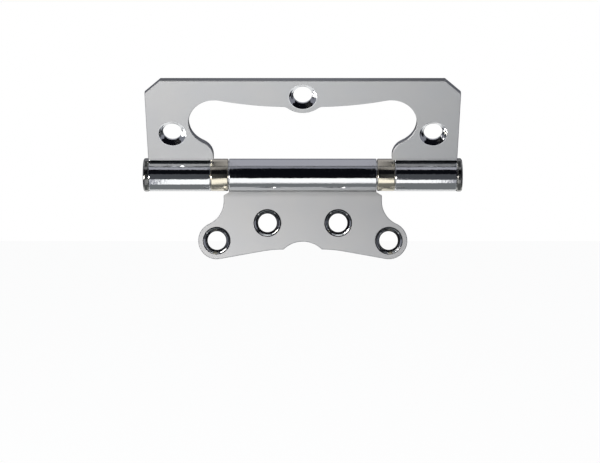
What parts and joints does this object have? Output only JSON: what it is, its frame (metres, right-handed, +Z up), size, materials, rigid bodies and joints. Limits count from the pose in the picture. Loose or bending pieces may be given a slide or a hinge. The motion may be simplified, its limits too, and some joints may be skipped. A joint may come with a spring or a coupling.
{
  "type": "surface mount hinge",
  "caption": "Surface mount flush door hinge with ball bearings: the inner leaf folds into a window in the outer leaf, so it needs no recess.",
  "frame": {"origin": "on the pin's axis, halfway along the hinge", "axes": "+X along the pin, +Z up, the inner leaf hangs along -Z in the XZ plane and its countersinks face -Y, and the outer leaf rises and leans towards -Y"},
  "size_m": [0.13, 0.0325, 0.0724],
  "materials": {
    "leaf_chrome": "polished",
    "cap_chrome": "polished",
    "shell_nickel": "turned and polished",
    "pin_steel": "ground",
    "race_steel": "ground",
    "cage_brass": "stamped",
    "ball_steel": "lapped"
  },
  "bodies": {
    "outer": {"outer_leaf": "leaf_chrome", "hinge_pin": "pin_steel", "end_cap_left": "cap_chrome", "end_cap_right": "cap_chrome", "bearing_shell_left": "shell_nickel", "bearing_shell_right": "shell_nickel", "fixed_race_left": "race_steel", "fixed_race_right": "race_steel"},
    "inner": {"inner_leaf": "leaf_chrome", "moving_race_left": "race_steel", "moving_race_right": "race_steel"},
    "cage_left": {"ball_cage_left": "cage_brass", "ball_left_1": "ball_steel", "ball_left_2": "ball_steel", "ball_left_3": "ball_steel", "ball_left_4": "ball_steel", "ball_left_5": "ball_steel", "ball_left_6": "ball_steel", "ball_left_7": "ball_steel", "ball_left_8": "ball_steel"},
    "cage_right": {"ball_cage_right": "cage_brass", "ball_right_1": "ball_steel", "ball_right_2": "ball_steel", "ball_right_3": "ball_steel", "ball_right_4": "ball_steel", "ball_right_5": "ball_steel", "ball_right_6": "ball_steel", "ball_right_7": "ball_steel", "ball_right_8": "ball_steel"}
  },
  "joints": [
    {"name": "leaf_swing", "type": "hinge", "parent": "outer", "child": "inner", "pos_m": [0, 0, 0], "axis": [1, 0, 0], "range_deg": [-146.6, 33.4]},
    {"name": "cage_left_orbit", "type": "hinge", "parent": "outer", "child": "cage_left", "pos_m": [0, 0, 0], "axis": [1, 0, 0], "range_deg": [-73.3, 16.7]},
    {"name": "cage_right_orbit", "type": "hinge", "parent": "outer", "child": "cage_right", "pos_m": [0, 0, 0], "axis": [1, 0, 0], "range_deg": [-73.3, 16.7]}
  ],
  "couplings": [
    {"joint": "cage_left_orbit", "follows": "leaf_swing", "ratio": 0.5},
    {"joint": "cage_right_orbit", "follows": "leaf_swing", "ratio": 0.5}
  ]
}
